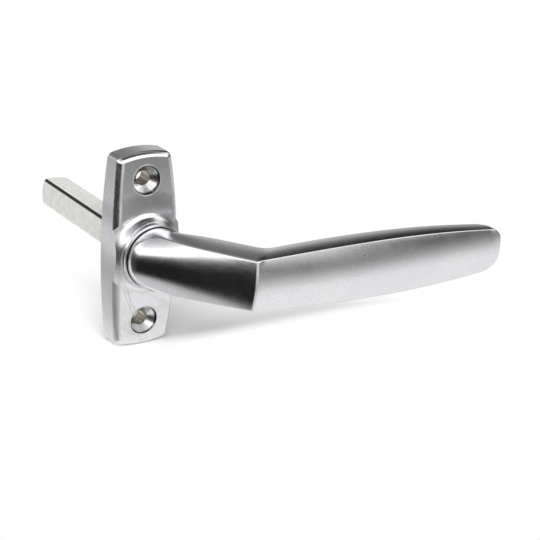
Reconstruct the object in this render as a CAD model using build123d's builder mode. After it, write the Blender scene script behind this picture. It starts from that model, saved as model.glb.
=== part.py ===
from build123d import *
from math import asin, cos, degrees, radians, sin, sqrt, tan
import os

os.makedirs("parts", exist_ok=True)

# Frame: origin on the turning axis at the wall face, +Z up the plate, +Y into the window, -Y into the room.
# Rises are distances out of the wall, towards -Y.

# Escutcheon plate
hole_spacing = 43.0
plate_length = 59.0
plate_width = 20.8
plate_end_width = 17.1
plate_end_bow = 1.15
plate_edge_radius = 2.0
plate_corner_margin = 0.1
face_rise = 8.7
face_end_rise = 6.9
plate_wall = 1.8
pocket_rise = 4.8
rib_width = 1.2
rib_rise = 1.0
screw_bore = 4.4
countersink_width = 8.6
countersink_angle = 90.0
countersink_land = 0.4
screw_boss_width = 8.0

# Collar of the plate
collar_wall = 0.5
collar_land = 1.9
collar_flare_radius = 3.2
collar_flare_sink = 0.4
collar_edge_radius = 0.25
collar_seat_depth = 3.0
hub_wall = 1.25

# Bush, washers and ring
bush_wall = 1.0
bush_flange = 1.0
bush_flange_gap = 0.45
washer_ring_width = 1.25
washer_edge_radius = 0.2
spring_height = 0.8
spring_thickness = 0.4
thrust_thickness = 0.8
ring_thickness = 1.0
ring_width = 1.5
ring_end_radius = 0.35
ring_gap_angle = 50.0
ring_groove_depth = 0.45

# Lever: neck and journal
neck_width = 18.0
neck_length = 1.8
journal_width = 14.0
journal_land = 0.8
journal_recess = 0.3
journal_end_radius = 0.3
socket_depth = 14.7

# Lever: arm, in the level pose
arm_angle = 43.3
arm_projection = 26.15
arm_inset = 0.55
arm_straight_share = 0.585
arm_depth = 12.2
arm_neck_height = 16.5
arm_bow = 0.4
arm_back_bow = 0.4
arm_crown_radius = 20.0

# Where the neck's circle turns into the arm's front, its edge, its side and its back, seen from the axis
front_turn = 64
edge_turn = 70
side_turn = 118
back_turn = 152

# Lever: grip, in the level pose
grip_reach = 109.6
grip_belly_reach = 60.0
grip_belly_height = 17.56
grip_rise_radius = 780.0
grip_fall_radius = 510.0
grip_tip_radius = 5.2
grip_crown_radius = 15.0
grip_crown_rise = 2.4
grip_bow_radius = 560.0
grip_bow_reach = 9.0
grip_middle_setback = 14.95
grip_tip_setback = 17.75
inner_corner_radius = 7.0
front_edge_radius = 0.6
back_edge_radius = 3.0

# Spindle and cross pin
spindle_width = 8.0
spindle_edge_radius = 0.8
spindle_projection = 51.4
spindle_end_bevel = 1.1
pin_width = 2.5
pin_wall = 0.5
pin_slot = 0.7
pin_rise = 6.4
pin_end_gap = 0.2

# The lever hangs this far below level
lever_droop = 4.2

# Clearances
turning_clearance = 0.05
collar_clearance = 0.15
socket_clearance = 0.05
pin_clearance = 0.02
bush_clearance = 0.02

# How far one form reaches into or past another where they are joined or cut
overlap = 9.0
crown_margin = 1.8
web_sink = 0.1
crease_rake = 0.2

# The plate's upright corners are just rounder than its rim, so that the rim's rounding runs on round them
plate_corner_radius = plate_edge_radius + plate_corner_margin

# Radii from the axis outwards
spindle_corner = spindle_width / sqrt(2)
journal_radius = journal_width / 2
groove_radius = journal_radius - ring_groove_depth
journal_bore = journal_radius + turning_clearance
bush_radius = journal_bore + bush_wall
washer_radius = journal_bore + washer_ring_width
hub_radius = bush_radius + hub_wall
neck_radius = neck_width / 2
seat_radius = neck_radius + collar_clearance
bush_flange_radius = seat_radius - bush_flange_gap
collar_radius = seat_radius + collar_wall
flare_foot = collar_radius + collar_flare_radius

# Rises from the wall outwards
ring_rise = journal_recess + journal_land
thrust_rise = ring_rise + ring_thickness
spring_rise = thrust_rise + thrust_thickness
hub_rise = spring_rise + spring_height
flare_foot_rise = face_rise - collar_flare_sink
flare_top_rise = flare_foot_rise + collar_flare_radius
collar_rise = flare_top_rise + collar_land
collar_seat_rise = collar_rise - collar_seat_depth
shoulder_rise = collar_seat_rise + bush_flange
socket_rise = journal_recess + socket_depth
neck_rise = collar_rise + neck_length
crease_rise = neck_rise + arm_projection
grip_front_rise = crease_rise + grip_crown_rise
dome_drop = face_rise - face_end_rise
dome_radius = ((plate_length / 2) ** 2 + dome_drop**2) / (2 * dome_drop)
screw_face_rise = face_rise - dome_radius + sqrt(dome_radius**2 - (hole_spacing / 2) ** 2)
sink_rise = screw_face_rise - countersink_land
screw_places = [(0, hole_spacing / 2), (0, -hole_spacing / 2)]


def plate_outline(inset=0.0):
    """Bowed outline of the plate: two long side arcs and two short end arcs."""
    side = plate_width / 2 - inset
    end = plate_length / 2 - inset
    corner_x = plate_end_width / 2 - inset
    corner_z = end - plate_end_bow
    with BuildSketch(Plane.XZ) as outline:
        with BuildLine():
            ThreePointArc((corner_x, -corner_z), (side, 0), (corner_x, corner_z))
            ThreePointArc((corner_x, corner_z), (0, end), (-corner_x, corner_z))
            ThreePointArc((-corner_x, corner_z), (-side, 0), (-corner_x, -corner_z))
            ThreePointArc((-corner_x, -corner_z), (0, -end), (corner_x, -corner_z))
        make_face()
        fillet(outline.vertices(), plate_corner_radius)
    return outline.sketch


outer_outline = plate_outline()
pocket_outline = plate_outline(plate_wall)

# Plate, outer form: a slab with a domed face and a rounded rim, and the flared collar cut to its walls
with BuildPart() as slab:
    extrude(outer_outline, amount=face_rise, dir=(0, -1, 0))
    with BuildSketch(Plane.YZ):
        with BuildLine():
            half = plate_length / 2
            ThreePointArc((-face_end_rise, half), (-face_rise, 0), (-face_end_rise, -half))
            Polyline((-face_end_rise, -half), (0, -half), (0, half), (-face_end_rise, half))
        make_face()
    extrude(amount=plate_width, both=True, mode=Mode.INTERSECT)
    face = slab.faces().filter_by(GeomType.CYLINDER).sort_by(Axis.Y)[0]
    fillet(face.edges(), plate_edge_radius)

with BuildPart() as flare:
    with BuildSketch(Plane.YZ) as flare_profile:
        with BuildLine():
            Polyline((-flare_foot_rise, flare_foot), (-pocket_rise, flare_foot), (-pocket_rise, 0),
                     (-collar_rise, 0), (-collar_rise, collar_radius), (-flare_top_rise, collar_radius))
            RadiusArc((-flare_top_rise, collar_radius), (-flare_foot_rise, flare_foot), -collar_flare_radius)
        make_face()
        rim_corner = flare_profile.vertices().sort_by_distance((0, -collar_rise, collar_radius))[0]
        fillet(rim_corner, collar_edge_radius)
    revolve(axis=Axis.Y)
    extrude(outer_outline, amount=collar_rise, dir=(0, -1, 0), mode=Mode.INTERSECT)

# Plate, hollow behind: the hub, the screw bosses and the ribs stand in the pocket
with BuildPart() as pocket_form:
    extrude(pocket_outline, amount=pocket_rise, dir=(0, -1, 0))
    with BuildSketch(Plane.XZ.offset(hub_rise)):
        Circle(hub_radius)
    extrude(amount=pocket_rise - hub_rise, mode=Mode.SUBTRACT)
    with BuildSketch(Plane.XZ):
        with Locations(*screw_places):
            Circle(screw_boss_width / 2)
    extrude(amount=pocket_rise, mode=Mode.SUBTRACT)
    with BuildSketch(Plane.XZ.offset(rib_rise)):
        with Locations(*screw_places):
            Rectangle(plate_width, rib_width)
        Rectangle(rib_width, plate_length)
        Circle(hub_radius + plate_wall, mode=Mode.SUBTRACT)
    extrude(amount=pocket_rise - rib_rise, mode=Mode.SUBTRACT)

with BuildPart() as escutcheon_plate:
    add(slab.part)
    add(flare.part)
    add(pocket_form.part, mode=Mode.SUBTRACT)
    with BuildSketch(Plane.XZ):
        Circle(bush_radius + bush_clearance)
        with Locations(*screw_places):
            Circle(screw_bore / 2)
    extrude(amount=collar_rise, mode=Mode.SUBTRACT)
    with BuildSketch(Plane.XZ.offset(collar_seat_rise)):
        Circle(seat_radius)
    extrude(amount=collar_rise - collar_seat_rise, mode=Mode.SUBTRACT)
    with Locations(Plane.XZ.offset(sink_rise)):
        with Locations(*screw_places):
            CounterSinkHole(screw_bore / 2, countersink_width / 2, sink_rise, countersink_angle)
    with BuildSketch(Plane.XZ.offset(sink_rise)):
        with Locations(*screw_places):
            Circle(countersink_width / 2)
    extrude(amount=face_rise, mode=Mode.SUBTRACT)

# Bush, dished spring washer, flat washer and snap ring, all about the lever's axis
with BuildPart() as bearing_bush:
    with BuildSketch(Plane.XY):
        with BuildLine():
            Polyline((journal_bore, -hub_rise), (bush_radius, -hub_rise), (bush_radius, -collar_seat_rise),
                     (bush_flange_radius, -collar_seat_rise), (bush_flange_radius, -shoulder_rise),
                     (journal_bore, -shoulder_rise), close=True)
        make_face()
    revolve(axis=Axis.Y)

with BuildPart() as spring_washer:
    with BuildSketch(Plane.XY):
        with BuildLine():
            Polyline((journal_bore, -spring_rise), (washer_radius, -hub_rise + spring_thickness),
                     (washer_radius, -hub_rise), (journal_bore, -spring_rise - spring_thickness), close=True)
        make_face()
    revolve(axis=Axis.Y)

with BuildPart() as thrust_washer:
    with BuildSketch(Plane.XZ.offset(thrust_rise)):
        Circle(washer_radius)
        Circle(journal_bore, mode=Mode.SUBTRACT)
    extrude(amount=thrust_thickness)
    fillet(thrust_washer.edges().filter_by(GeomType.CIRCLE).group_by(SortBy.RADIUS)[-1], washer_edge_radius)

with BuildPart() as snap_ring:
    with BuildSketch(Plane.XZ.offset(ring_rise)) as ring_face:
        Circle(groove_radius + pin_clearance + ring_width)
        Circle(groove_radius + pin_clearance, mode=Mode.SUBTRACT)
        with BuildLine():
            reach = 2 * journal_radius
            half_gap = ring_gap_angle / 2
            gap_x = reach * sin(radians(half_gap))
            gap_z = reach * cos(radians(half_gap))
            Polyline((0, 0), (gap_x, -gap_z), (-gap_x, -gap_z), close=True)
        make_face(mode=Mode.SUBTRACT)
        fillet(ring_face.vertices(), ring_end_radius)
    extrude(amount=ring_thickness)

# Spindle: square bar with rounded long edges and a bevelled end
with BuildPart() as spindle:
    with BuildSketch(Plane.XZ.offset(socket_rise)):
        RectangleRounded(spindle_width, spindle_width, spindle_edge_radius)
    extrude(amount=-(socket_rise + spindle_projection))
    with BuildSketch(Plane.XY):
        with BuildLine():
            Polyline((0, -socket_rise), (spindle_corner, -socket_rise),
                     (spindle_corner, spindle_projection - spindle_end_bevel),
                     (spindle_width / 2, spindle_projection), (0, spindle_projection), close=True)
        make_face()
    revolve(axis=Axis.Y, mode=Mode.INTERSECT)
    with BuildSketch(Plane.XY):
        with Locations((0, -pin_rise)):
            Circle(pin_width / 2)
    extrude(amount=spindle_width, both=True, mode=Mode.SUBTRACT)

# Slotted spring pin across the journal
pin_length = 2 * sqrt(journal_radius**2 - (pin_width / 2) ** 2) - pin_end_gap
with BuildPart() as cross_pin:
    with BuildSketch(Plane.XY.offset(-pin_length / 2)):
        with Locations((0, -pin_rise)):
            Circle(pin_width / 2 - pin_clearance)
            Circle(pin_width / 2 - pin_wall, mode=Mode.SUBTRACT)
            Rectangle(pin_width, pin_slot, align=(Align.MIN, Align.CENTER), mode=Mode.SUBTRACT)
    extrude(amount=pin_length)

# Lever in plan: the arm's own direction, the normal that points at its back, and the grip's corners
along = Vector(sin(radians(arm_angle)), -cos(radians(arm_angle)))
across = Vector(cos(radians(arm_angle)), sin(radians(arm_angle)))
crease_reach = arm_projection * tan(radians(arm_angle)) - neck_radius + arm_inset
crease = Vector(crease_reach, -crease_rise)
corner = crease + across * arm_depth
tip_back = Vector(grip_reach, grip_tip_setback - grip_front_rise)
middle_back = Vector((corner.X + grip_reach) / 2, grip_middle_setback - grip_front_rise)


def grip_half_height(reach):
    """Half height of the grip between its root and its belly."""
    drop = grip_rise_radius - sqrt(grip_rise_radius**2 - (grip_belly_reach - reach) ** 2)
    return grip_belly_height / 2 - drop


def arm_section(distance, bow, half_front, half_back):
    """Face across the arm: crowned front, flat top and bottom, slightly bowed back, rounded corners."""
    spot = crease + along * distance - across * bow
    plane = Plane(origin=(spot.X, spot.Y, 0), x_dir=(across.X, across.Y, 0), z_dir=(along.X, along.Y, 0))
    crown = arm_crown_radius - sqrt(arm_crown_radius**2 - half_front**2)
    depth = arm_depth + bow
    with BuildSketch(plane) as section:
        with BuildLine():
            ThreePointArc((0, half_front), (-crown, 0), (0, -half_front))
            Line((0, -half_front), (depth, -half_back))
            ThreePointArc((depth, -half_back), (depth + arm_back_bow, 0), (depth, half_back))
            Line((depth, half_back), (0, half_front))
        make_face()
        fillet(section.vertices().sort_by_distance((0, 0))[0:2], front_edge_radius)
        fillet(section.vertices().sort_by_distance((depth, 0))[0:2], back_edge_radius)
    return section.sketch


def neck_circle():
    """Round section of the neck in eight arcs that answer to the arm section's eight edges."""
    half_turns = [-front_turn, front_turn, edge_turn, side_turn, back_turn]
    turns = half_turns + [360 - turn for turn in reversed(half_turns[1:])]
    with BuildSketch(Plane.XZ.offset(neck_rise)) as section:
        with BuildLine():
            for first, last in zip(turns, turns[1:]):
                arc_turns = [radians(turn) for turn in (first, (first + last) / 2, last)]
                ThreePointArc(*[(-neck_radius * cos(turn), neck_radius * sin(turn)) for turn in arc_turns])
        make_face()
    return section.sketch


# Arm: from the round neck to past the crease
crease_half = grip_half_height(crease.X)
corner_half = grip_half_height(corner.X)
arm_half = arm_neck_height / 2
arm_straight = arm_straight_share * arm_projection / cos(radians(arm_angle))
with BuildPart() as arm:
    loft([
        neck_circle(),
        arm_section(-arm_straight, arm_bow / 2, arm_half, arm_half),
        arm_section(-arm_straight / 2, arm_bow, (arm_half + crease_half) / 2, (arm_half + corner_half) / 2),
        arm_section(0, 0, crease_half, corner_half),
        arm_section(overlap, 0, crease_half, corner_half),
    ])

with BuildPart() as neck:
    extrude(neck_circle(), amount=shoulder_rise - neck_rise)

# Neck and arm share one whole face, on which they are glued together
neck_and_arm = arm.part.fuse(neck.part, glue=True)


def crown_profile():
    """Section of the crowned front, closed behind at the lever's axis."""
    reach = grip_belly_height / 2 + crown_margin
    edge_rise = grip_front_rise - grip_crown_radius + sqrt(grip_crown_radius**2 - reach**2)
    with BuildSketch(Plane.YZ.offset(grip_bow_reach)) as profile:
        with BuildLine():
            ThreePointArc((-edge_rise, reach), (-grip_front_rise, 0), (-edge_rise, -reach))
            Polyline((-edge_rise, -reach), (0, -reach), (0, reach), (-edge_rise, reach))
        make_face()
    return profile.sketch


# Front form: one crowned face, straight over the arm and bowed along the grip
bow_axis = Axis((grip_bow_reach, grip_bow_radius - grip_front_rise, 0), (0, 0, 1))
bow_turn = 2 * degrees(asin((grip_reach - grip_bow_reach) / grip_bow_radius))
with BuildPart() as front_form:
    add(crown_profile())
    revolve(axis=bow_axis, revolution_arc=bow_turn)
    extrude(crown_profile(), amount=-(grip_bow_reach + neck_width))

# Grip: plan outline by height outline, behind the front form
with BuildSketch(Plane.XY) as grip_plan:
    with BuildLine():
        front = -2 * grip_front_rise
        rake_reach = crease.X + (front - crease.Y) * crease_rake
        Polyline(tip_back, (grip_reach, front), (rake_reach, front), crease, corner)
        back_arc = ThreePointArc(corner, middle_back, tip_back)
    make_face()


def on_back(edge):
    """True for an edge that runs along the grip's back."""
    spot = edge.center()
    return back_arc.distance_to(Vertex(spot.X, spot.Y, 0)) < back_edge_radius


with BuildPart() as grip:
    extrude(grip_plan.sketch, amount=neck_width, both=True)
    with BuildSketch(Plane.XZ) as height:
        with BuildLine():
            belly = grip_belly_height / 2
            root = grip_half_height(0)
            tip = belly - grip_fall_radius + sqrt(grip_fall_radius**2 - (grip_reach - grip_belly_reach) ** 2)
            RadiusArc((0, root), (grip_belly_reach, belly), grip_rise_radius)
            RadiusArc((grip_belly_reach, belly), (grip_reach, tip), grip_fall_radius)
            Line((grip_reach, tip), (grip_reach, -tip))
            RadiusArc((grip_reach, -tip), (grip_belly_reach, -belly), grip_fall_radius)
            RadiusArc((grip_belly_reach, -belly), (0, -root), grip_rise_radius)
            Line((0, -root), (0, root))
        make_face()
        fillet(height.vertices().group_by(Axis.X)[-1], grip_tip_radius)
    extrude(amount=2 * grip_front_rise, mode=Mode.INTERSECT)
    add(front_form.part, mode=Mode.INTERSECT)
    rims = grip.edges().filter_by(lambda e: e.center().X > corner.X).filter_by(GeomType.LINE, reverse=True)
    fillet(rims.filter_by(on_back, reverse=True), front_edge_radius)
    rims = grip.edges().filter_by(lambda e: e.center().X > corner.X).filter_by(GeomType.LINE, reverse=True)
    fillet(rims.filter_by(on_back), back_edge_radius)

# Web that rounds the inner corner between the backs of arm and grip, turned about the rounding's own centre
grip_way = (middle_back - corner).normalized()
open_angle = grip_way.get_angle(-along)
bisector = (grip_way - along).normalized()
web_centre = corner + bisector * (inner_corner_radius / sin(radians(open_angle / 2)) - web_sink)
with BuildPart() as corner_web:
    with BuildSketch(Plane(origin=web_centre, x_dir=-across, z_dir=-along)) as web:
        with Locations((inner_corner_radius, 0)):
            Rectangle(arm_depth / 2, 2 * corner_half - 2 * web_sink, align=(Align.MIN, Align.CENTER))
        fillet(web.vertices().group_by(Axis.X)[0], back_edge_radius)
    revolve(axis=Axis(web_centre, (0, 0, 1)), revolution_arc=180 - open_angle)

# Lever: the arm cut where the grip begins, the journal with its groove, the grip and the web, then the bores
with BuildPart() as handle_lever:
    add(neck_and_arm)
    add(front_form.part, mode=Mode.INTERSECT)
    extrude(grip_plan.sketch, amount=neck_width, both=True, mode=Mode.SUBTRACT)
    with BuildSketch(Plane.XY) as journal:
        with BuildLine():
            Polyline((0, -journal_recess), (journal_radius, -journal_recess),
                     (journal_radius, -shoulder_rise), (0, -shoulder_rise), close=True)
        make_face()
        fillet(journal.vertices().sort_by_distance((journal_radius, -journal_recess))[0], journal_end_radius)
        with Locations((journal_radius, -ring_rise - ring_thickness / 2)):
            Rectangle(2 * ring_groove_depth, ring_thickness + 2 * pin_clearance, mode=Mode.SUBTRACT)
    revolve(axis=Axis.Y)
    add(grip.part)
    add(corner_web.part)
    with BuildSketch(Plane.XZ):
        Rectangle(spindle_width + 2 * socket_clearance, spindle_width + 2 * socket_clearance)
    extrude(amount=socket_rise, mode=Mode.SUBTRACT)
    with BuildSketch(Plane.XY):
        with Locations((0, -pin_rise)):
            Circle(pin_width / 2)
    extrude(amount=journal_width, both=True, mode=Mode.SUBTRACT)

# The plate's pieces stand upright, and the lever's pieces hang with it
escutcheon_plate.part.label = "escutcheon_plate"
export_step(escutcheon_plate.part, "parts/escutcheon_plate.step")
bearing_bush.part.label = "bearing_bush"
export_step(bearing_bush.part, "parts/bearing_bush.step")
spring_washer.part.label = "spring_washer"
export_step(spring_washer.part, "parts/spring_washer.step")

turning_pieces = {
    "handle_lever": handle_lever,
    "spindle": spindle,
    "cross_pin": cross_pin,
    "thrust_washer": thrust_washer,
    "snap_ring": snap_ring,
}
for name, piece in turning_pieces.items():
    hung = piece.part.rotate(Axis.Y, lever_droop)
    hung.label = name
    export_step(hung, f"parts/{name}.step")
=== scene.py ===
from math import cos, pi, radians, sin

import bpy
import numpy as np
from mathutils import Matrix, Vector


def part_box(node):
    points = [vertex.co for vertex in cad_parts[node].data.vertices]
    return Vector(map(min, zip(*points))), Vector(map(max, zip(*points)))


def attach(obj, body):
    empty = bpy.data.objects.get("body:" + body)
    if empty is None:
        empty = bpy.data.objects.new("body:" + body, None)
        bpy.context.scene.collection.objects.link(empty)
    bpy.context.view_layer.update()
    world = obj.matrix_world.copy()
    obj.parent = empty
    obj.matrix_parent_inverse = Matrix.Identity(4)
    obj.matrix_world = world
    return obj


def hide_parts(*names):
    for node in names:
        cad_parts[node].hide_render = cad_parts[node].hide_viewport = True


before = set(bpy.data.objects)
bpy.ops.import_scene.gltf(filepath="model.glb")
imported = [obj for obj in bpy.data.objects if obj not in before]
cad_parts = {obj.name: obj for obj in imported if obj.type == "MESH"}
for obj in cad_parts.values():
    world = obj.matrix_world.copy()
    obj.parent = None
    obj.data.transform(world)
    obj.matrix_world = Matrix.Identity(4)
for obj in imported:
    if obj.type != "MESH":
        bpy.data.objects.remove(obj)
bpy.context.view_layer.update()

# Camera of the photograph: its place in metres, what it looks at, its roll in degrees, its lens and film in
# millimetres, and how far it sees in metres
CAMERA_PLACE = (-0.25923, -0.47375, 0.20331)
CAMERA_AIM = (0.0328, -0.02343, -0.00575)
CAMERA_ROLL = 2.80
CAMERA_LENS = 132.08
CAMERA_FILM = 36
CAMERA_REACH = 10

# The lever hangs this many degrees below level
LEVER_DROOP = 4.2


def new_material(name):
    """Empty node material, ready for nodes."""
    material = bpy.data.materials.new(name)
    material.use_nodes = True
    material.node_tree.nodes.clear()
    return material


def connect(tree, value, socket):
    """Gives a socket a number, a colour or another node's result."""
    if isinstance(value, (int, float)):
        socket.default_value = value
    elif isinstance(value, tuple):
        socket.default_value = (*value, 1.0)
    else:
        tree.links.new(value, socket)


def math_node(tree, operation, *values):
    """Math node with numbers or sockets as its values; gives its result."""
    node = tree.nodes.new("ShaderNodeMath")
    node.operation = operation
    for socket, value in zip(node.inputs, values):
        connect(tree, value, socket)
    return node.outputs[0]


def plus(tree, first, second):
    """Sum of two values."""
    return math_node(tree, "ADD", first, second)


def minus(tree, first, second):
    """First value less the second."""
    return math_node(tree, "SUBTRACT", first, second)


def times(tree, first, second):
    """Product of two values."""
    return math_node(tree, "MULTIPLY", first, second)


def larger(tree, first, second):
    """Larger one of two values."""
    return math_node(tree, "MAXIMUM", first, second)


def apart(tree, first, second):
    """How far two values lie apart, without a sign."""
    return math_node(tree, "ABSOLUTE", minus(tree, first, second))


def fade(tree, value, start, end, first, last, smooth=True):
    """Value mapped from start..end to first..last and held outside."""
    node = tree.nodes.new("ShaderNodeMapRange")
    node.interpolation_type = "SMOOTHSTEP" if smooth else "LINEAR"
    for name, number in (("From Min", start), ("From Max", end), ("To Min", first), ("To Max", last)):
        connect(tree, number, node.inputs[name])
    connect(tree, value, node.inputs["Value"])
    return node.outputs["Result"]


def mix(tree, factor, first, second):
    """Colour between two colours."""
    node = tree.nodes.new("ShaderNodeMix")
    node.data_type = "RGBA"
    connect(tree, factor, node.inputs["Factor"])
    connect(tree, first, node.inputs[6])
    connect(tree, second, node.inputs[7])
    return node.outputs[2]


def split_axes(tree, place):
    """x, y and z of a place."""
    node = tree.nodes.new("ShaderNodeSeparateXYZ")
    tree.links.new(place, node.inputs[0])
    return node.outputs


def object_place(tree):
    """Object coordinates: metres in the shared frame."""
    return tree.nodes.new("ShaderNodeTexCoord").outputs["Object"]


def turned(tree, place, angle=0.0, stretch=(1.0, 1.0, 1.0)):
    """Place turned about Y by an angle in degrees, then stretched along its own axes."""
    node = tree.nodes.new("ShaderNodeMapping")
    node.vector_type = "TEXTURE"
    node.inputs["Rotation"].default_value = (0.0, radians(angle), 0.0)
    node.inputs["Scale"].default_value = stretch
    tree.links.new(place, node.inputs["Vector"])
    return node.outputs[0]


def noise(tree, place, grain, detail=3.0):
    """Noise whose lumps are about grain millimetres wide, 0 to 1."""
    node = tree.nodes.new("ShaderNodeTexNoise")
    node.inputs["Scale"].default_value = 1000.0 / grain
    node.inputs["Detail"].default_value = detail
    tree.links.new(place, node.inputs["Vector"])
    return node.outputs[0]


def lines(tree, place, angle, length, grain, width):
    """Fine scratches: 1 where a drawn-out noise passes its middle value, 0 beside it."""
    value = noise(tree, turned(tree, place, angle, (length, 1.0, 1.0)), grain, 1.0)
    return fade(tree, apart(tree, value, 0.5), 0.0, width, 1.0, 0.0)


def dots(tree, place, spacing, radius, kept):
    """Specks: 1 inside some cells' middles, 0 elsewhere; kept is the share of the cells that have one."""
    node = tree.nodes.new("ShaderNodeTexVoronoi")
    node.inputs["Scale"].default_value = 1000.0 / spacing
    tree.links.new(place, node.inputs["Vector"])
    chosen = fade(tree, split_axes(tree, node.outputs["Color"])[0], 1.0 - kept, 1.0 - kept + 0.01, 0.0, 1.0)
    near = fade(tree, node.outputs["Distance"], radius / spacing * 0.4, radius / spacing, 1.0, 0.0)
    return times(tree, chosen, near)


def near_spot(tree, place, spot, full, none):
    """1 within the full distance of a spot, 0 past the other, in metres."""
    node = tree.nodes.new("ShaderNodeVectorMath")
    node.operation = "DISTANCE"
    tree.links.new(place, node.inputs[0])
    node.inputs[1].default_value = spot
    return fade(tree, node.outputs["Value"], full, none, 1.0, 0.0)


def flat_length(tree, first, second):
    """Length of the flat vector with these two parts."""
    return math_node(tree, "SQRT", plus(tree, times(tree, first, first), times(tree, second, second)))


def bumped(tree, *layers):
    """Normal after bumps laid over each other, each a height from 0 to 1 and its depth in millimetres."""
    normal = None
    for height, depth in layers:
        node = tree.nodes.new("ShaderNodeBump")
        node.inputs["Distance"].default_value = depth / 1000
        connect(tree, height, node.inputs["Height"])
        if normal is not None:
            tree.links.new(normal, node.inputs["Normal"])
        normal = node.outputs[0]
    return normal


def finish_material(material, colour, metallic, roughness, normal):
    """Ends a material in one surface shader; metallic is a number, the other three may vary."""
    tree = material.node_tree
    shader = tree.nodes.new("ShaderNodeBsdfPrincipled")
    connect(tree, colour, shader.inputs["Base Color"])
    shader.inputs["Metallic"].default_value = metallic
    connect(tree, roughness, shader.inputs["Roughness"])
    tree.links.new(normal, shader.inputs["Normal"])
    output = tree.nodes.new("ShaderNodeOutputMaterial")
    tree.links.new(shader.outputs[0], output.inputs[0])
    return material


# How wide the bright metal's marks are in millimetres: clouds, smudges, polishing waves, fine marks, satin grain
CLOUD, SMUDGE, WAVE, FINE, GRAIN = 18.0, 7.0, 14.0, 1.6, 0.55
SMUDGE_ANGLE, SMUDGE_STRETCH = 35.0, (2.5, 1.0, 1.0)

# Fine scratches as lines() takes them, and specks as dots() takes them
FINE_SCRATCHES = ((62.0, 14.0, 1.1, 0.02), (-35.0, 18.0, 1.5, 0.014))
SPECKS = (2.6, 0.12, 0.12)

# Places on the bright metal in metres, each from where it starts to where it is full: the plate along Y, its
# worn lower half, its rubbed left rim, how the rubbing grows downwards, and the face's rise around the collar
PLATE_START = (-0.0128, -0.0118)
LOWER_HALF = (-0.008, -0.013)
LEFT_RIM = (-0.0078, -0.0087)
RUBBED_DOWN = (0.004, -0.006)
FACE_RISE = (0.0185, 0.0120)

# Screw holes in metres: how far from the axis, and the radii of countersink and bore
HOLE_OFFSET = 0.0215
SINK_RADIUS = 0.0043
BORE_RADIUS = 0.0022

# Turned rings in radians per metre; painted sheen streaks: their width in millimetres, and how far their noise
# moves per radian round the hole and per metre out of it
RING_WAVES = 26000.0
STREAK = 0.6
STREAK_ROUND, STREAK_OUT = 0.012, 0.25

# Seam between collar and lever: its radius, its place along Y and where its painted shade is full and gone, in
# metres
SEAM_RADIUS = 0.00908
SEAM_PLACE = -0.0134
SEAM_WIDTH = (0.00006, 0.0002)
SEAM_DEPTH = (0.0003, 0.0009)

# Long scratches from x, z to x, z in metres, their half width, their waver and how their two ends fade
SCRATCHES = (((-0.0079, -0.0092), (-0.0030, -0.0209)), ((-0.0068, -0.0095), (-0.0012, -0.0220)),
             ((-0.0060, -0.0100), (-0.0042, -0.0180)))
SCRATCH_WIDTH = (0.00004, 0.00014)
SCRATCH_WAVER = 0.0012
SCRATCH_START, SCRATCH_END = 0.002, 0.003

# Dents in the grip's face, in metres
DENTS = ((0.05368, -0.04104, 0.00164), (0.0838, -0.03657, 0.00185))
DENT_WIDTH = (0.00005, 0.0003)


def scored(tree, x, z, start, end, waver):
    """One long scratch over the plate from start to end, in metres along x and z, with a slight waver.

    How far a spot lies along the scratch and beside it are its two products with the scratch's own way.
    """
    run = np.hypot(end[0] - start[0], end[1] - start[1])
    way = ((end[0] - start[0]) / run, (end[1] - start[1]) / run)
    from_x, from_z = minus(tree, x, start[0]), minus(tree, z, start[1])
    along = plus(tree, times(tree, from_x, way[0]), times(tree, from_z, way[1]))
    aside = minus(tree, times(tree, from_x, way[1]), times(tree, from_z, way[0]))
    aside = plus(tree, aside, times(tree, minus(tree, waver, 0.5), SCRATCH_WAVER))
    line = fade(tree, math_node(tree, "ABSOLUTE", aside), *SCRATCH_WIDTH, 1.0, 0.0)
    ends = times(tree, fade(tree, along, 0.0, SCRATCH_START, 0.0, 1.0),
                 fade(tree, along, run - SCRATCH_END, run, 1.0, 0.0))
    return times(tree, line, ends)


def countersink_marks(tree, x, z, fine):
    """Marks in the screw holes: inside, rings, painted sheen streaks, a painted shade line just inside the
    countersink's edge, a burr on that edge, bore.
    """
    rise = minus(tree, math_node(tree, "ABSOLUTE", z), HOLE_OFFSET)
    out = flat_length(tree, x, rise)
    inside = fade(tree, out, SINK_RADIUS + 0.00008, SINK_RADIUS - 0.00002, 0.0, 1.0)
    rings = times(tree, math_node(tree, "SINE", times(tree, out, RING_WAVES)), inside)
    polar = tree.nodes.new("ShaderNodeCombineXYZ")
    connect(tree, times(tree, math_node(tree, "ARCTAN2", rise, x), STREAK_ROUND), polar.inputs[0])
    connect(tree, times(tree, out, STREAK_OUT), polar.inputs[1])
    sheen_streak = noise(tree, polar.outputs[0], STREAK, 4.0)
    # painted shade: a near-black line just inside the countersink's edge, where its wall's shadow falls
    rim_shade = times(tree, inside, fade(tree, out, SINK_RADIUS - 0.0005, SINK_RADIUS - 0.0002, 0.0, 1.0))
    rim_shade = times(tree, rim_shade, fade(tree, fine, 0.3, 0.6, 0.6, 1.0))
    burr = fade(tree, apart(tree, out, SINK_RADIUS + 0.0002), 0.0, 0.0002, 1.0, 0.0)
    bore = fade(tree, out, BORE_RADIUS + 0.00012, BORE_RADIUS + 0.00004, 0.0, 1.0)
    return inside, rings, sheen_streak, rim_shade, burr, bore


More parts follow.
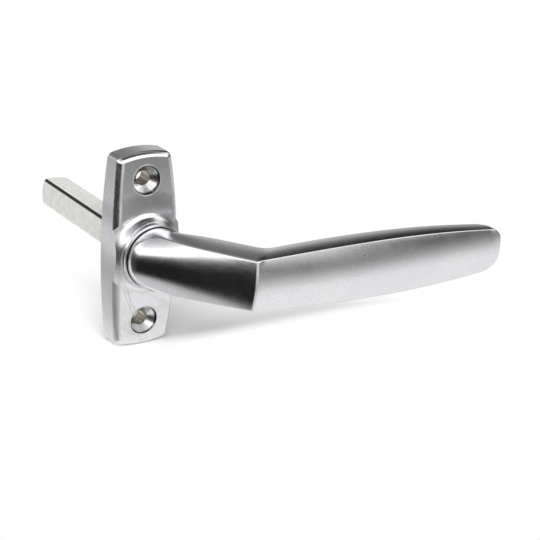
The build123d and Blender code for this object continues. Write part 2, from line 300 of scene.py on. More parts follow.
def make_bright_metal():
    """Satin bright casting: grain, polishing waves, smudges, scratches, countersinks and painted shade in the gap
    between collar and lever.
    """
    material = new_material("bright_metal")
    tree = material.node_tree
    place = object_place(tree)
    x, y, z = split_axes(tree, place)
    cloud = noise(tree, place, CLOUD, 3.0)
    smudge = noise(tree, turned(tree, place, SMUDGE_ANGLE, SMUDGE_STRETCH), SMUDGE, 5.0)
    wave = noise(tree, place, WAVE, 1.0)
    fine = noise(tree, place, FINE, 5.0)
    grain = noise(tree, place, GRAIN, 3.0)

    # the lower half of the plate is scratched and smudged, and its left rim is rubbed dull
    on_plate = fade(tree, y, *PLATE_START, 0.0, 1.0)
    low = times(tree, fade(tree, z, *LOWER_HALF, 0.0, 1.0), on_plate)
    worn = times(tree, low, fade(tree, smudge, 0.45, 0.62, 0.0, 1.0))
    rubbed = times(tree, fade(tree, x, *LEFT_RIM, 0.0, 1.0), on_plate)
    rubbed = times(tree, rubbed, fade(tree, z, *RUBBED_DOWN, 0.3, 1.0))
    scratch = larger(tree, *(lines(tree, place, *way) for way in FINE_SCRATCHES))
    scratch = times(tree, scratch, larger(tree, fade(tree, cloud, 0.52, 0.62, 0.0, 0.14), worn))
    for start, end in SCRATCHES:
        scratch = larger(tree, scratch, times(tree, scored(tree, x, z, start, end, smudge), on_plate))
    speck = dots(tree, place, *SPECKS)
    for spot in DENTS:
        speck = larger(tree, speck, near_spot(tree, place, spot, *DENT_WIDTH))
    inside, rings, sheen_streak, rim_shade, burr, bore = countersink_marks(tree, x, z, fine)

    # painted shade in the seam between collar and lever, and the soft rise of the plate's face towards the collar
    radius = flat_length(tree, x, z)
    foot = times(tree, fade(tree, radius, *FACE_RISE, 0.0, 1.0), on_plate)
    seam_shade = times(tree, fade(tree, apart(tree, radius, SEAM_RADIUS), *SEAM_WIDTH, 1.0, 0.0),
                 fade(tree, apart(tree, y, SEAM_PLACE), *SEAM_DEPTH, 1.0, 0.0))

    clouded = fade(tree, cloud, 0.35, 0.65, 0.0, 1.0)
    colour = mix(tree, clouded, (0.775, 0.78, 0.795), (0.82, 0.823, 0.835))
    colour = mix(tree, fade(tree, grain, 0.35, 0.65, 0.0, 0.16), colour, (0.50, 0.505, 0.52))
    colour = mix(tree, times(tree, worn, 0.22), colour, (0.60, 0.60, 0.58))
    colour = mix(tree, times(tree, scratch, 0.5), colour, (0.35, 0.35, 0.35))
    colour = mix(tree, times(tree, speck, 0.7), colour, (0.16, 0.16, 0.16))
    # machined tone, partly real and partly painted sheen: its light radial streaks stand in for the turning's
    # highlights
    sheen_streaked = fade(tree, sheen_streak, 0.35, 0.65, 0.0, 1.0)
    machined_sheen = mix(tree, sheen_streaked, (0.70, 0.70, 0.69), (0.97, 0.97, 0.97))
    colour = mix(tree, inside, colour, machined_sheen)
    # painted shade line just inside the countersink's edge
    colour = mix(tree, rim_shade, colour, (0.05, 0.05, 0.05))
    colour = mix(tree, bore, colour, (0.46, 0.42, 0.35))
    # painted shade: a near-black ring in the gap between collar and lever
    colour = mix(tree, seam_shade, colour, (0.02, 0.02, 0.02))

    roughness = fade(tree, cloud, 0.35, 0.65, 0.15, 0.19)
    for mask, more in ((fade(tree, fine, 0.4, 0.7, 0.0, 1.0), 0.03), (worn, 0.10), (rubbed, 0.34),
                       (scratch, 0.08), (inside, 0.10), (seam_shade, 0.3)):
        roughness = plus(tree, roughness, times(tree, mask, more))
    raised = minus(tree, 1.0, plus(tree, scratch, times(tree, speck, 3.0)))
    normal = bumped(tree, (foot, 0.45), (wave, 0.03), (grain, 0.009), (fine, 0.004), (raised, 0.004),
                    (rings, 0.002), (burr, 0.03))
    return finish_material(material, colour, 1.0, roughness, normal)


# Steel: its fine mottle and drawn lines in millimetres, how long the lines are drawn, and its specks
MOTTLE, DRAWN_LINE = 0.5, 0.35
DRAWN = 6.0
STEEL_SPECKS = (1.4, 0.12, 0.2)

# Spindle: where the painted dark reflection along one of its edges starts and is full, as z - x in metres in the
# level frame
EDGE_REFLECTION = (0.00724, 0.00734)


def steel_layers(tree, place, light, dark, roughness, patch):
    """Colour, roughness and normal of steel with patches, specks and drawn lines; patch is in millimetres."""
    blotch = noise(tree, place, patch, 5.0)
    fine = noise(tree, place, MOTTLE, 4.0)
    along = tree.nodes.new("ShaderNodeMapping")
    along.inputs["Scale"].default_value = (1.0, 1.0 / DRAWN, 1.0)
    tree.links.new(place, along.inputs["Vector"])
    drawing = noise(tree, along.outputs[0], DRAWN_LINE, 3.0)
    speck = dots(tree, place, *STEEL_SPECKS)
    colour = mix(tree, fade(tree, blotch, 0.38, 0.62, 0.0, 1.0), dark, light)
    colour = mix(tree, fade(tree, fine, 0.5, 0.75, 0.0, 0.35), colour, dark)
    colour = mix(tree, times(tree, speck, 0.6), colour, (0.10, 0.09, 0.08))
    rough = fade(tree, blotch, 0.35, 0.65, roughness + 0.05, roughness - 0.05)
    rough = plus(tree, rough, times(tree, fine, 0.06))
    return colour, rough, bumped(tree, (blotch, 0.02), (fine, 0.006), (drawing, 0.004))


def make_spindle_steel():
    """Zinc-plated drawn bar: warm, mottled and dull on its faces, with a painted dark reflection along one
    rounded edge.
    """
    material = new_material("spindle_steel")
    tree = material.node_tree
    place = object_place(tree)
    colour, rough, normal = steel_layers(tree, place, (1.0, 1.0, 0.97), (0.92, 0.915, 0.87), 0.42, 2.2)
    x, _, z = split_axes(tree, turned(tree, place, LEVER_DROOP))
    # painted reflection: a near-black line along one rounded edge
    edge = fade(tree, minus(tree, z, x), *EDGE_REFLECTION, 0.0, 1.0)
    colour = mix(tree, edge, colour, (0.03, 0.03, 0.03))
    rough = minus(tree, rough, times(tree, edge, 0.2))
    return finish_material(material, colour, 0.5, rough, normal)


def make_plain_steel(name, light, dark, roughness, patch):
    """Steel of a washer, a ring or a pin; patch is the width of its patches in millimetres."""
    material = new_material(name)
    tree = material.node_tree
    colour, rough, normal = steel_layers(tree, object_place(tree), light, dark, roughness, patch)
    return finish_material(material, colour, 1.0, rough, normal)


def make_plastic():
    """Dark moulded bush: fine eroded grain and a light haze of wear."""
    material = new_material("bush_plastic")
    tree = material.node_tree
    place = object_place(tree)
    haze = noise(tree, place, 4.0, 4.0)
    grain = noise(tree, place, 0.25, 3.0)
    hazy = fade(tree, haze, 0.35, 0.7, 0.0, 1.0)
    colour = mix(tree, hazy, (0.045, 0.045, 0.05), (0.085, 0.085, 0.085))
    rough = fade(tree, haze, 0.3, 0.7, 0.42, 0.58)
    return finish_material(material, colour, 0.0, rough, bumped(tree, (haze, 0.02), (grain, 0.008)))


# Shading: edges sharper than this stay sharp, and points nearer than this, in metres, are one
SHARP = radians(30)
SAME_POINT = 1e-6
FLAT_WEIGHT = 90


def split_sharp(piece):
    """Cuts a piece's shading along its sharp edges; gives the modifier."""
    split = piece.modifiers.new("split", "EDGE_SPLIT")
    split.split_angle = SHARP
    return split


def dress(node, material):
    """Gives a CAD node its material, and smooth shading between its sharp edges."""
    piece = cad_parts[node]
    for slot in piece.material_slots:
        slot.material = material
    piece.data.polygons.foreach_set("use_smooth", np.ones(len(piece.data.polygons), bool))
    weld = piece.modifiers.new("weld", "WELD")
    weld.merge_threshold = SAME_POINT
    split_sharp(piece).use_edge_sharp = False
    flat = piece.modifiers.new("flat", "WEIGHTED_NORMAL")
    flat.mode = "FACE_AREA_WITH_ANGLE"
    flat.weight = FLAT_WEIGHT


bright = make_bright_metal()
zinc = make_plain_steel("washer_steel", (0.80, 0.80, 0.78), (0.62, 0.61, 0.57), 0.38, 2.5)
spring = make_plain_steel("spring_steel", (0.42, 0.43, 0.45), (0.24, 0.24, 0.26), 0.34, 2.0)
dress("escutcheon_plate", bright)
dress("spindle", make_spindle_steel())
dress("bearing_bush", make_plastic())
dress("thrust_washer", zinc)
for name in ("spring_washer", "snap_ring", "cross_pin"):
    dress(name, spring)


# Lever, in millimetres, in the level pose: rises are distances out of the wall, towards -Y
SHOULDER_RISE = 11.4
NECK_RADIUS = 9.0
NECK_TURN_RADIUS = 5.0
NECK_BACK_TURN_RADIUS = 4.5
ARM_FRONT_CORNER = (-9.0, -17.2)
ARM_BACK_CORNER = (9.0, -15.35)
CREASE_FRONT = (15.6, -43.68)
CREASE_BACK = (25.07, -32.98)
CREASE_RADIUS = 2.0
INNER_RADIUS = 7.0
ARM_HALF_HEIGHT = 8.25
ARM_CROWN_RADIUS = 15.0
CREASE_CROWN_RADIUS = 30.0
GRIP_CROWN_RADIUS = 15.0
GRIP_START = 16.2
GRIP_REACH = 109.4
GRIP_APEX_RISE = 43.70
GRIP_BOW_REACH = 9.0
GRIP_BOW_RADIUS = 560.0
GRIP_BOW_BLEND = 20.0
GRIP_MIDDLE_BACK = (67.3, -28.8)
GRIP_TIP_BACK = (109.55, -26.0)
GRIP_BELLY_REACH = 60.0
GRIP_BELLY = 8.78
GRIP_RISE_RADIUS = 780.0
GRIP_FALL_RADIUS = 510.0
TIP_CORNER = 5.2
TIP_TOP_CORNER = 3.3
TIP_BACK_CORNER = 7.0
FRONT_EDGE = 0.6
ARM_FRONT_EDGE = 0.8
BACK_EDGE = 3.0
TOP_BULGE = radians(7)
BACK_DROP = 0.45

# The edges' roundings take at most these shares of the half height and of the half depth
FRONT_EDGE_SHARE, BACK_EDGE_SHARE = 0.45, 0.8

# Along this length the section turns from round to squared, and the higher the number, the sooner it starts to
ROUND_LENGTH = 22.0
ROUND_RELEASE = 6

# Where the neck's circle turns into the front's edge, the top, the back's edge and the back, as angles from
# the front
FRONT_TURN, EDGE_TURN, SIDE_TURN, BACK_TURN = (radians(angle) for angle in (64, 70, 118, 152))

# How many points each stretch of the sweep and of its section has, and the step at which the arm ends
NECK_STEPS, TURN_STEPS, ARM_STEPS, CREASE_STEPS, GRIP_STEPS, TIP_STEPS = 8, 16, 60, 18, 110, 26
CROWN_STEPS, EDGE_STEPS, TOP_STEPS, BACK_ROUND_STEPS, BACK_STEPS = 41, 9, 13, 13, 13
ARM_END = NECK_STEPS + TURN_STEPS + ARM_STEPS

# Over this length, in millimetres, the back line's slope is taken where the grip starts
SLOPE_RUN = 3.0

# Journal, groove and socket behind the neck, as radius and rise from the shoulder back to the wall
JOURNAL_STEPS = ((7.0, 11.4), (7.0, 2.12), (6.55, 2.12), (6.55, 1.08), (7.0, 1.08), (7.0, 0.6), (6.7, 0.3))
SOCKET_HALF = 4.05
SOCKET_RISES = (0.3, 15.0)


def ease(share):
    """Smooth step: three times the square less twice the cube of a share held to 0..1."""
    share = np.clip(share, 0, 1)
    return share * share * (3 - 2 * share)


def corner_arc(corner, into, away, radius, count):
    """Arcs that round corners: circles of the given radii tangent to the ways in and out of each corner.

    Arrays of corners (n, 2), unit ways (n, 2) and radii (n); gives points (n, count, 2).
    """
    cosine = np.clip(np.sum(into * away, axis=1), -1, 1)
    turn = np.arccos(cosine)
    side = np.sign(into[:, 0] * away[:, 1] - into[:, 1] * away[:, 0])
    start = corner - into * (radius * np.tan(turn / 2))[:, None]
    normal = np.stack([-into[:, 1], into[:, 0]], axis=1) * side[:, None]
    centre = start + normal * radius[:, None]
    angle = turn[:, None] * np.linspace(0, 1, count)[None, :] * side[:, None]
    arm = start - centre
    c, s = np.cos(angle), np.sin(angle)
    spokes = np.stack([arm[:, :1] * c - arm[:, 1:] * s, arm[:, :1] * s + arm[:, 1:] * c], axis=2)
    return centre[:, None, :] + spokes


def plan_line(start, first, second, end_way, first_radius, second_radius):
    """Plan line start -> first corner -> second corner, both rounded by arcs, ready to run on in end_way."""
    start, first, second = (np.array(point, float) for point in (start, first, second))
    into = (first - start) / np.linalg.norm(first - start)
    way = (second - first) / np.linalg.norm(second - first)
    first_arc = corner_arc(first[None], into[None], way[None], np.array([first_radius]), TURN_STEPS)[0]
    second_arc = corner_arc(second[None], way[None], end_way[None], np.array([second_radius]),
                            CREASE_STEPS)[0]
    neck = np.linspace(start, first_arc[0], NECK_STEPS, endpoint=False)
    arm = np.linspace(first_arc[-1], second_arc[0], ARM_STEPS + 2)[1:-1]
    return np.concatenate([neck, first_arc, arm, second_arc])


def arc_through(first, middle, last, x):
    """y of the circle through three plan points at the given x."""
    (x1, y1), (x2, y2), (x3, y3) = first, middle, last
    a = np.array([[2 * (x2 - x1), 2 * (y2 - y1)], [2 * (x3 - x1), 2 * (y3 - y1)]])
    b = np.array([x2**2 - x1**2 + y2**2 - y1**2, x3**2 - x1**2 + y3**2 - y1**2])
    cx, cy = np.linalg.solve(a, b)
    radius = np.hypot(x1 - cx, y1 - cy)
    return cy + np.sign(y2 - cy) * np.sqrt(radius**2 - (x - cx) ** 2)


def turn_ways(ways, angle):
    """Flat vectors (n, 2) turned by an angle."""
    return ways @ np.array([[cos(angle), sin(angle)], [-sin(angle), cos(angle)]])


def tip_rounding(x, radius):
    """How far a quarter circle that ends at the grip's reach draws the line in at x."""
    into_corner = np.clip(x - (GRIP_REACH - radius), 0, radius)
    return radius - np.sqrt(radius**2 - into_corner**2)


def half_height(x, tip_corner=TIP_CORNER):
    """Half height of the grip over its length: two long arcs that meet at the belly, and the tip's corner."""
    before, past = np.minimum(x - GRIP_BELLY_REACH, 0), np.maximum(x - GRIP_BELLY_REACH, 0)
    rise = GRIP_BELLY - GRIP_RISE_RADIUS + np.sqrt(GRIP_RISE_RADIUS**2 - before**2)
    fall = GRIP_FALL_RADIUS - np.sqrt(GRIP_FALL_RADIUS**2 - past**2)
    return rise - fall - tip_rounding(x, tip_corner)


def side_height(x, start, on_grip, arm_share):
    """Half height along one plan line: grown evenly over the arm, up to the grip's own where it starts."""
    grown = ARM_HALF_HEIGHT + (half_height(start) - ARM_HALF_HEIGHT) * arm_share
    return np.where(on_grip, half_height(np.maximum(x, start)), grown)


def grip_front(x):
    """Front line of the grip in plan: a long circle past the bow's reach, level before it."""
    past = np.maximum(x - GRIP_BOW_REACH, 0)
    return -GRIP_APEX_RISE + GRIP_BOW_RADIUS - np.sqrt(GRIP_BOW_RADIUS**2 - past**2)


def grip_back(x):
    """Back line of the grip in plan: the circle through its three points."""
    return arc_through(CREASE_BACK, GRIP_MIDDLE_BACK, GRIP_TIP_BACK, x)


def lever_lines():
    """Front and back line of the lever in plan, point for point.

    The arm's straight lines run round the crease into the grip's circles. Both lines go out by the same share
    of the grip's length, and their last points lie at the same reach, spaced as the sine of an even angle.
    """
    front = plan_line((ARM_FRONT_CORNER[0], -SHOULDER_RISE), ARM_FRONT_CORNER, CREASE_FRONT,
                      np.array((1.0, 0.0)), NECK_TURN_RADIUS, CREASE_RADIUS)
    slope = (grip_back(CREASE_BACK[0] + SLOPE_RUN) - grip_back(CREASE_BACK[0])) / SLOPE_RUN
    back = plan_line((ARM_BACK_CORNER[0], -SHOULDER_RISE), ARM_BACK_CORNER, CREASE_BACK,
                     np.array((1.0, slope)) / np.hypot(1, slope), NECK_BACK_TURN_RADIUS, INNER_RADIUS)
    share = np.linspace(0, 1, GRIP_STEPS + 1)[1:]
    tip_start = GRIP_REACH - TIP_CORNER
    x_tip = tip_start + TIP_CORNER * np.sin(np.linspace(0, pi / 2, TIP_STEPS + 1)[1:])
    x_front, x_back = (np.concatenate([line[-1, 0] + share * (tip_start - line[-1, 0]), x_tip])
                       for line in (front, back))
    step = front[-1, 1] - grip_front(front[-1, 0])
    y_front = grip_front(x_front) + step * (1 - ease((x_front - front[-1, 0]) / GRIP_BOW_BLEND))
    y_front += tip_rounding(x_front, FRONT_EDGE)
    y_back = grip_back(x_back) - tip_rounding(x_back, TIP_BACK_CORNER)
    return (np.concatenate([front, np.stack([x_front, y_front], axis=1)]),
            np.concatenate([back, np.stack([x_back, y_back], axis=1)]))


def squared_section(depth, half_front, half_back, crown, edge, rear):
    """Squared section at every step, as depth behind the front line and height, from the front over the top.

    Front: a circle arc of the crown's radius. Front and back edge: circle arcs tangent to what they join. Top:
    a quadratic curve that leaves both edges by the bulge's angle. Back: straight. The lower side mirrors the
    upper.
    """
    sag = crown - np.sqrt(crown**2 - half_front**2)
    top_front = np.stack([sag, half_front], axis=1)
    top_back = np.stack([depth, half_back], axis=1)
    top_way = top_back - top_front
    top_way /= np.linalg.norm(top_way, axis=1)[:, None]
    lean = np.arcsin(half_front / crown)
    crown_way = np.stack([np.sin(lean), np.cos(lean)], axis=1)
    down = np.tile((0.0, -1.0), (len(depth), 1))
    edge_arc = corner_arc(top_front, crown_way, turn_ways(top_way, TOP_BULGE), edge, EDGE_STEPS)
    back_arc = corner_arc(top_back, turn_ways(top_way, -TOP_BULGE), down, rear, BACK_ROUND_STEPS)
    reach = np.arctan2(edge_arc[:, 0, 1], crown - edge_arc[:, 0, 0])
    turn = reach[:, None] * np.linspace(-1, 1, CROWN_STEPS)[None, :]
    crown_arc = np.stack([crown[:, None] * (1 - np.cos(turn)), crown[:, None] * np.sin(turn)], axis=2)
    first, last = edge_arc[:, -1], back_arc[:, 0]
    ridge = (first + last) / 2 + turn_ways(last - first, pi / 2) * (np.tan(TOP_BULGE) / 2)
    share = np.linspace(0, 1, TOP_STEPS + 2)[1:-1][None, :, None]
    top = (1 - share) ** 2 * first[:, None] + share**2 * last[:, None] + 2 * share * (1 - share) * ridge[:, None]
    share = np.linspace(0, 1, BACK_STEPS + 2)[1:-1][None, :, None]
    flip = np.array((1.0, -1.0))
    rear_line = back_arc[:, -1:, :] * (1 - share) + back_arc[:, -1:, :] * flip * share
    upper = np.concatenate([edge_arc[:, 1:], top, back_arc], axis=1)
    return np.concatenate([crown_arc, upper, rear_line, upper[:, ::-1] * flip], axis=1)


def round_turns():
    """Angles about the neck's axis, from the front, of the round section's points, one for each squared one."""
    upper = np.concatenate([
        np.linspace(FRONT_TURN, EDGE_TURN, EDGE_STEPS)[1:],
        np.linspace(EDGE_TURN, SIDE_TURN, TOP_STEPS + 2)[1:-1],
        np.linspace(SIDE_TURN, BACK_TURN, BACK_ROUND_STEPS),
    ])
    back = np.linspace(BACK_TURN, 2 * pi - BACK_TURN, BACK_STEPS + 2)[1:-1]
    return np.concatenate([FRONT_TURN * np.linspace(-1, 1, CROWN_STEPS), upper, back, 2 * pi - upper[::-1]])


def lever_skin(turns):
    """Points of the lever's sweep, step by step from the shoulder to the tip, in level millimetres.

    A section stands across the two plan lines at every step. It is the neck's circle at the shoulder, the
    squared section past the round length, and their weighted mean between.
    """
    front, back = lever_lines()
    step = np.arange(len(front))
    run = np.concatenate([[0], np.cumsum(np.hypot(*np.diff(front, axis=0).T))])
    run -= run[NECK_STEPS]
    arm_share = np.clip(run / run[ARM_END], 0, 1)
    crease_share = ease((step - ARM_END) / CREASE_STEPS)
    on_grip = step >= ARM_END

    depth = np.hypot(*(back - front).T)
    half_front = side_height(front[:, 0], GRIP_START, on_grip, arm_share)
    half_back = side_height(back[:, 0], CREASE_BACK[0], on_grip, arm_share) - BACK_DROP
    crown = ARM_CROWN_RADIUS + (CREASE_CROWN_RADIUS - ARM_CROWN_RADIUS) * arm_share**2
    crown += (GRIP_CROWN_RADIUS - CREASE_CROWN_RADIUS) * crease_share
    edge = ARM_FRONT_EDGE + (FRONT_EDGE - ARM_FRONT_EDGE) * crease_share
    edge = np.minimum(edge, FRONT_EDGE_SHARE * half_front)
    rear = np.minimum(BACK_EDGE, BACK_EDGE_SHARE * np.minimum(half_back, depth / 2))
    squared = squared_section(depth, half_front, half_back, crown, edge, rear)
    rounded = np.stack([depth[:, None] / 2 * (1 - np.cos(turns))[None, :],
                        np.broadcast_to(NECK_RADIUS * np.sin(turns), (len(front), len(turns)))], axis=2)
    release = np.clip(run / ROUND_LENGTH, 0, 1)
    release = release * (2 - release) * (1 - np.exp(-ROUND_RELEASE * release))
    section = rounded + (squared - rounded) * release[:, None, None]

    across = (back - front) / depth[:, None]
    points = np.empty((len(front), len(turns), 3))
    points[..., :2] = front[:, None, :] + across[:, None, :] * section[..., :1]
    # the tip's upper corner is tighter than its lower one
    reach = np.minimum(front[:, 0], GRIP_REACH)
    taller = np.where(on_grip, half_height(reach, TIP_TOP_CORNER) / half_height(reach), 1)[:, None]
    points[..., 2] = section[..., 1] * np.where(section[..., 1] > 0, taller, 1)
    return points


def hang(points):
    """Turns level millimetre points down by the lever's droop about its axis, and gives them in metres."""
    droop = radians(LEVER_DROOP)
    x, y, z = np.moveaxis(points, -1, 0)
    return np.stack([x * cos(droop) + z * sin(droop), y, z * cos(droop) - x * sin(droop)], axis=-1) / 1000


def add_lever():
    """Lever as one closed skin: the sweep from shoulder to tip, and behind it the journal down into its socket.

    The journal's loops are circles and the socket's are squares, with a point at each angle of the section.
    """
    turns = round_turns()
    square = SOCKET_HALF / np.maximum(np.abs(np.cos(turns)), np.abs(np.sin(turns)))
    steps = [*JOURNAL_STEPS, *((square, rise) for rise in SOCKET_RISES)]
    journal = [np.stack([-reach * np.cos(turns), np.full_like(turns, -rise), reach * np.sin(turns)], axis=1)
               for reach, rise in reversed(steps)]
    loops = hang(np.concatenate([np.array(journal), lever_skin(turns)]))
    count, around = loops.shape[:2]
    first = np.arange(count - 1)[:, None] * around + np.arange(around)[None, :]
    after = np.roll(first, -1, axis=1)
    faces = np.stack([first, first + around, after + around, after], axis=2).reshape(-1, 4).tolist()
    faces.append(list(range(around)))
    faces.append(list(range(count * around - 1, (count - 1) * around - 1, -1)))
    mesh = bpy.data.meshes.new("lever_skin")
    mesh.from_pydata(loops.reshape(-1, 3), [], faces)
    mesh.polygons.foreach_set("use_smooth", np.ones(len(mesh.polygons), bool))
    mesh.materials.append(bright)
    skin = bpy.data.objects.new("lever_skin", mesh)
    bpy.context.scene.collection.objects.link(skin)
    split_sharp(skin)
    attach(skin, "lever")
    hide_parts("handle_lever")


def add_camera():
    """Camera at the photograph's place, with its roll about the line of sight."""
    data = bpy.data.cameras.new("camera")
    data.lens = CAMERA_LENS
    data.sensor_width = CAMERA_FILM
    data.clip_end = CAMERA_REACH
    camera = bpy.data.objects.new("camera", data)
    bpy.context.scene.collection.objects.link(camera)
    place, aim = Vector(CAMERA_PLACE), Vector(CAMERA_AIM)
    turn = (aim - place).to_track_quat("-Z", "Y").to_matrix() @ Matrix.Rotation(radians(CAMERA_ROLL), 3, "Z")
    camera.location = place
    camera.rotation_euler = turn.to_euler()
    bpy.context.scene.camera = camera


# Studio walls for the light and the reflections: each wall's brightness by elevation in degrees
LEFT_WALL = ((-90, 0.72), (-60, 0.70), (-47, 0.58), (-38, 0.12), (-33, 0.012), (-6, 0.012), (3, 0.035),
             (9, 0.11), (14, 0.35), (19, 1.7), (34, 1.7), (42, 1.0), (60, 0.65), (74, 0.4), (90, 0.15))
FRONT_WALL = ((-90, 0.85), (-35, 0.75), (-25, 0.62), (-16, 0.50), (-8, 0.62), (0, 0.78), (14, 0.85), (22, 1.6),
              (52, 1.7), (62, 0.4), (75, 0.15), (90, 0.15))
MIDDLE_WALL = ((-90, 1.0), (-35, 0.98), (-27, 0.88), (-21, 0.66), (-16, 0.50), (-8, 0.30), (-2, 0.21),
               (4, 0.31), (10, 0.58), (16, 1.0), (22, 1.6), (28, 2.2), (50, 2.0), (58, 0.4), (66, 0.08),
               (90, 0.12))
RIGHT_WALL = ((-90, 1.0), (-28, 0.97), (-20, 0.90), (-14, 0.76), (-7, 0.54), (0, 0.35), (7, 0.20), (13, 0.13),
              (19, 0.17), (24, 0.45), (28, 0.9), (33, 1.3), (44, 1.2), (52, 0.25), (62, 0.08), (90, 0.12))
BACK_WALL = ((-90, 0.80), (-22, 0.60), (-6, 0.42), (3, 0.42), (7, 0.25), (11, 0.10), (15, 0.045), (20, 0.02),
             (43, 0.02), (49, 0.35), (60, 0.3), (72, 0.12), (90, 0.12))
FAR_WALL = ((-90, 0.90), (-30, 0.95), (-18, 0.88), (-9, 0.52), (3, 0.62), (9, 0.66), (14, 0.54), (20, 0.34),
            (26, 0.24), (34, 0.17), (40, 0.25), (46, 0.35), (54, 0.35), (65, 0.2), (90, 0.12))

# A ramp holds its brightness as a share of this
BRIGHTEST = 2.0

# Azimuths in degrees, from -Y towards +X, between which one wall fades into the next
LEFT_TO_FRONT = (-40, -18)
FRONT_TO_MIDDLE = (2, 28)
MIDDLE_TO_RIGHT = (34, 54)
RIGHT_TO_BACK = (90, 118)
BACK_TO_FAR = (137, 150)
FAR_TO_LEFT = (-146, -140)
FAR_HAZE_TO_LEFT = (-125, -75)
FAR_HAZE = 0.07

# Soft key lamp that throws the handle's shadow: where it stands, in degrees, and how wide and strong it is
KEY_AZIMUTH, KEY_ELEVATION = -32, 45
KEY_SPREAD = 40
KEY_STRENGTH = 2.7


def wall_light(tree, elevation, stops):
    """Brightness of one wall at an elevation, as a share of the brightest, by a ramp over -90..90 degrees."""
    ramp = tree.nodes.new("ShaderNodeValToRGB")
    ramp.color_ramp.interpolation = "EASE"
    elements = ramp.color_ramp.elements
    while len(elements) < len(stops):
        elements.new(1.0)
    for element, (angle, light) in zip(elements, stops):
        element.position = (angle + 90) / 180
        element.color = (light / BRIGHTEST,) * 3 + (1,)
    tree.links.new(elevation, ramp.inputs[0])
    return ramp.outputs[0]


def finish_two(tree, share, first, second, output):
    """Ends a tree in one shader where the share is 0 and another where it is 1."""
    both = tree.nodes.new("ShaderNodeMixShader")
    for socket, value in zip(both.inputs, (share, first, second)):
        tree.links.new(value, socket)
    tree.links.new(both.outputs[0], tree.nodes.new(output).inputs[0])


def add_world():
    """Studio of six walls for light and reflections; plain white where the camera looks."""
    world = bpy.data.worlds.new("studio")
    bpy.context.scene.world = world
    world.use_nodes = True
    tree = world.node_tree
    tree.nodes.clear()
    x, y, z = split_axes(tree, tree.nodes.new("ShaderNodeTexCoord").outputs["Generated"])
    azimuth = math_node(tree, "DEGREES", math_node(tree, "ARCTAN2", x, times(tree, y, -1.0)))
    angle = math_node(tree, "DEGREES", math_node(tree, "ARCSINE", z))
    elevation = fade(tree, angle, -90, 90, 0, 1, smooth=False)
    light = wall_light(tree, elevation, LEFT_WALL)
    for stops, (start, end) in ((FRONT_WALL, LEFT_TO_FRONT), (MIDDLE_WALL, FRONT_TO_MIDDLE),
                                (RIGHT_WALL, MIDDLE_TO_RIGHT), (BACK_WALL, RIGHT_TO_BACK),
                                (FAR_WALL, BACK_TO_FAR)):
        light = mix(tree, fade(tree, azimuth, start, end, 0, 1), light, wall_light(tree, elevation, stops))
    share = plus(tree, fade(tree, azimuth, *FAR_TO_LEFT, 1 - FAR_HAZE, 0),
                 fade(tree, azimuth, *FAR_HAZE_TO_LEFT, FAR_HAZE, 0))
    light = mix(tree, share, light, wall_light(tree, elevation, FAR_WALL))
    studio = tree.nodes.new("ShaderNodeBackground")
    tree.links.new(light, studio.inputs["Color"])
    studio.inputs["Strength"].default_value = BRIGHTEST
    white = tree.nodes.new("ShaderNodeBackground")
    white.inputs["Color"].default_value = (1, 1, 1, 1)
    path = tree.nodes.new("ShaderNodeLightPath")
    seen = larger(tree, path.outputs["Is Camera Ray"], path.outputs["Is Transmission Ray"])
    finish_two(tree, seen, studio.outputs[0], white.outputs[0], "ShaderNodeOutputWorld")


def add_key():
    """Wide sun lamp from the front left; the metal mirrors the studio's own window there instead of it."""
    data = bpy.data.lights.new("key", "SUN")
    data.energy = KEY_STRENGTH
    data.angle = radians(KEY_SPREAD)
    key = bpy.data.objects.new("key", data)
    azimuth, elevation = radians(KEY_AZIMUTH), radians(KEY_ELEVATION)
    towards = Vector((sin(azimuth) * cos(elevation), -cos(azimuth) * cos(elevation), sin(elevation)))
    key.rotation_euler = towards.to_track_quat("Z", "Y").to_euler()
    key.visible_glossy = False
    bpy.context.scene.collection.objects.link(key)


# Table: its white, what makes up to full white where nothing shades it, the width of its fibres in millimetres
# and how far it lies under the plate's foot in metres
TABLE_COLOUR = 0.82
TABLE_FIBRE_COLOUR = 0.81
TABLE_GLOW = 0.05
TABLE_FIBRE = 0.6
TABLE_GAP = 0.0001

# Its edges in metres, the sum of x and y along its cut corner, which leaves the turned lever in sight from
# behind, and how far in from each of them it is lit by itself
TABLE_LEFT, TABLE_RIGHT, TABLE_FRONT, TABLE_BACK = -0.03, 0.095, -0.0131, 0.06
TABLE_CUT = -0.0191
LEFT_MARGIN, RIGHT_MARGIN, FRONT_MARGIN, BACK_MARGIN, CUT_MARGIN = 0.015, 0.04, 0.009, 0.04, 0.014


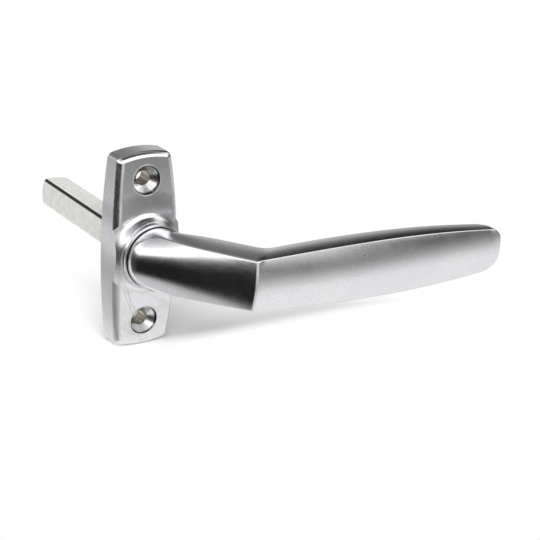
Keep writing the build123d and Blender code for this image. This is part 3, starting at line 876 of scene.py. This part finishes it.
def add_table():
    """White sheet under the plate's foot; its front edge is behind the space that the lever turns in."""
    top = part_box("escutcheon_plate")[0][2] - TABLE_GAP
    mesh = bpy.data.meshes.new("table")
    corners = [(TABLE_CUT - TABLE_FRONT, TABLE_FRONT, top), (TABLE_RIGHT, TABLE_FRONT, top),
               (TABLE_RIGHT, TABLE_BACK, top), (TABLE_LEFT, TABLE_BACK, top),
               (TABLE_LEFT, TABLE_CUT - TABLE_LEFT, top)]
    mesh.from_pydata(corners, [], [tuple(range(5))])
    table = bpy.data.objects.new("table", mesh)
    bpy.context.scene.collection.objects.link(table)
    material = new_material("table_white")
    tree = material.node_tree
    place = object_place(tree)
    paint = tree.nodes.new("ShaderNodeBsdfDiffuse")
    fibre = fade(tree, noise(tree, place, TABLE_FIBRE, 3.0), 0.3, 0.7, 0.0, 1.0)
    tree.links.new(mix(tree, fibre, (TABLE_FIBRE_COLOUR,) * 3, (TABLE_COLOUR,) * 3), paint.inputs["Color"])
    glow = tree.nodes.new("ShaderNodeEmission")
    path = tree.nodes.new("ShaderNodeLightPath")
    seen = larger(tree, path.outputs["Is Camera Ray"], path.outputs["Is Glossy Ray"])
    tree.links.new(times(tree, seen, TABLE_GLOW), glow.inputs["Strength"])
    lit = tree.nodes.new("ShaderNodeAddShader")
    tree.links.new(paint.outputs[0], lit.inputs[0])
    tree.links.new(glow.outputs[0], lit.inputs[1])
    white = tree.nodes.new("ShaderNodeEmission")
    x, y, _ = split_axes(tree, place)
    margin = fade(tree, y, TABLE_FRONT, TABLE_FRONT + FRONT_MARGIN, 1.0, 0.0)
    for across, edge, inner in ((y, TABLE_BACK, TABLE_BACK - BACK_MARGIN),
                                (x, TABLE_LEFT, TABLE_LEFT + LEFT_MARGIN),
                                (x, TABLE_RIGHT, TABLE_RIGHT - RIGHT_MARGIN),
                                (plus(tree, x, y), TABLE_CUT, TABLE_CUT + CUT_MARGIN)):
        margin = larger(tree, margin, fade(tree, across, edge, inner, 1.0, 0.0))
    finish_two(tree, times(tree, seen, margin), lit.outputs[0], white.outputs[0], "ShaderNodeOutputMaterial")
    mesh.materials.append(material)


add_lever()
add_camera()
add_world()
add_key()
add_table()
bpy.context.scene.view_settings.view_transform = "Standard"
